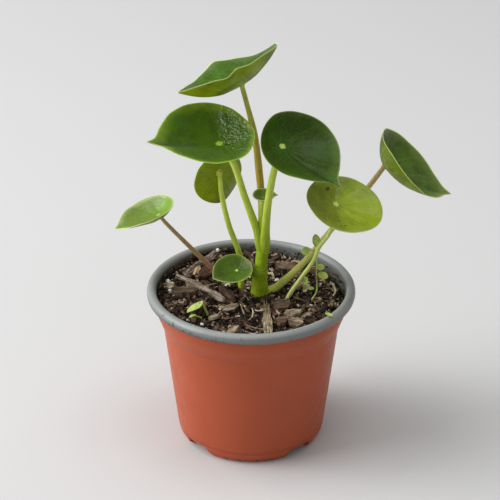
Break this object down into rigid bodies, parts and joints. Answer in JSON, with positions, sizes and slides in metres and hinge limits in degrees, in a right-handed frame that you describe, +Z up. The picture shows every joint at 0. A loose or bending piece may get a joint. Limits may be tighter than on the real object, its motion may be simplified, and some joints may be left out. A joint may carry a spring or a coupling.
{
  "type": "potted houseplant",
  "caption": "Young houseplant with round, pointed leaves on long stalks, in a tapered plastic nursery pot with a rolled rim, drainage channels and bark soil.",
  "frame": {"origin": "centre of the pot's base, on the surface it stands on", "axes": "+Z up along the pot's axis, front of the pot towards -Y, +X to the viewer's right"},
  "size_m": [0.1928, 0.12, 0.2398],
  "materials": {
    "pot": "terracotta outside, grey inside and on the rim, satin",
    "soil": "dark crumbly bark and peat",
    "stem": "fresh green, smooth, fleshy",
    "stalk": "pale green to tan, smooth",
    "leaf": "waxy green with a pale thin margin and a pale spot at the stalk",
    "weed": "thin pale green",
    "twig": "weathered grey brown, fibrous",
    "bark": "split bark, reddish to tan",
    "perlite": "white, porous, matte"
  },
  "bodies": {
    "root": {"bark_behind": "bark", "bark_dark": "bark", "bark_front": "bark", "bark_lump": "bark", "bark_oval": "bark", "bark_pale": "bark", "bark_pink": "bark", "bark_red": "bark", "bark_round": "bark", "bark_splinter": "bark", "bark_strip": "bark", "bark_tan": "bark", "leaf_back": "leaf", "leaf_far_right": "leaf", "leaf_left": "leaf", "leaf_low": "leaf", "leaf_near_right": "leaf", "leaf_top": "leaf", "leaf_upper_left": "leaf", "leaf_upper_right": "leaf", "leaf_young": "leaf", "main_stem": "stem", "nursery_pot": "pot", "perlite_centre": "perlite", "perlite_left": "perlite", "perlite_low": "perlite", "perlite_right": "perlite", "perlite_stem": "perlite", "potting_soil": "soil", "rim_scrap": "weed", "root_fibre": "twig", "sprout_left": "weed", "stalk_back": "stalk", "stalk_far_right": "stalk", "stalk_left": "stalk", "stalk_low": "stalk", "stalk_near_right": "stalk", "stalk_top": "stalk", "stalk_upper_left": "stalk", "stalk_upper_right": "stalk", "stalk_young": "stalk", "twig_back": "twig", "twig_long": "twig", "weed_right": "weed", "weed_shoot": "weed"}
  },
  "joints": []
}
